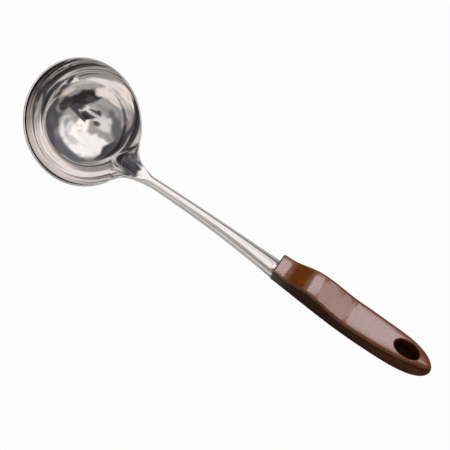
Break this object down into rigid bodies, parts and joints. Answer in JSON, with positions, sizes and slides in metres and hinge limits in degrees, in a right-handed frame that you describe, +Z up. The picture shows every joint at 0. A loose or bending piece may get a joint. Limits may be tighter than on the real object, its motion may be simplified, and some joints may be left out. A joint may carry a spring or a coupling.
{
  "type": "soup ladle",
  "caption": "Soup ladle: deep round steel bowl pressed in one piece with an arched stem, in a moulded brown handle with a thumb hump and an oval hanging hole.",
  "frame": {"origin": "centre of the bounding box at table level, with the ladle lying on its back on the bowl and the handle's flat underside", "axes": "+X from the bowl to the handle end, +Y to the left when looking along +X, +Z up; the rim plane leans 28.8 degrees towards the handle"},
  "size_m": [0.3382, 0.0922, 0.0568],
  "materials": {
    "steel": "mirror-polished stainless steel, softly brushed on the stem",
    "phenolic": "glossy brown moulded phenolic"
  },
  "bodies": {
    "root": {"bowl_and_stem": "steel", "handle": "phenolic"}
  },
  "joints": []
}
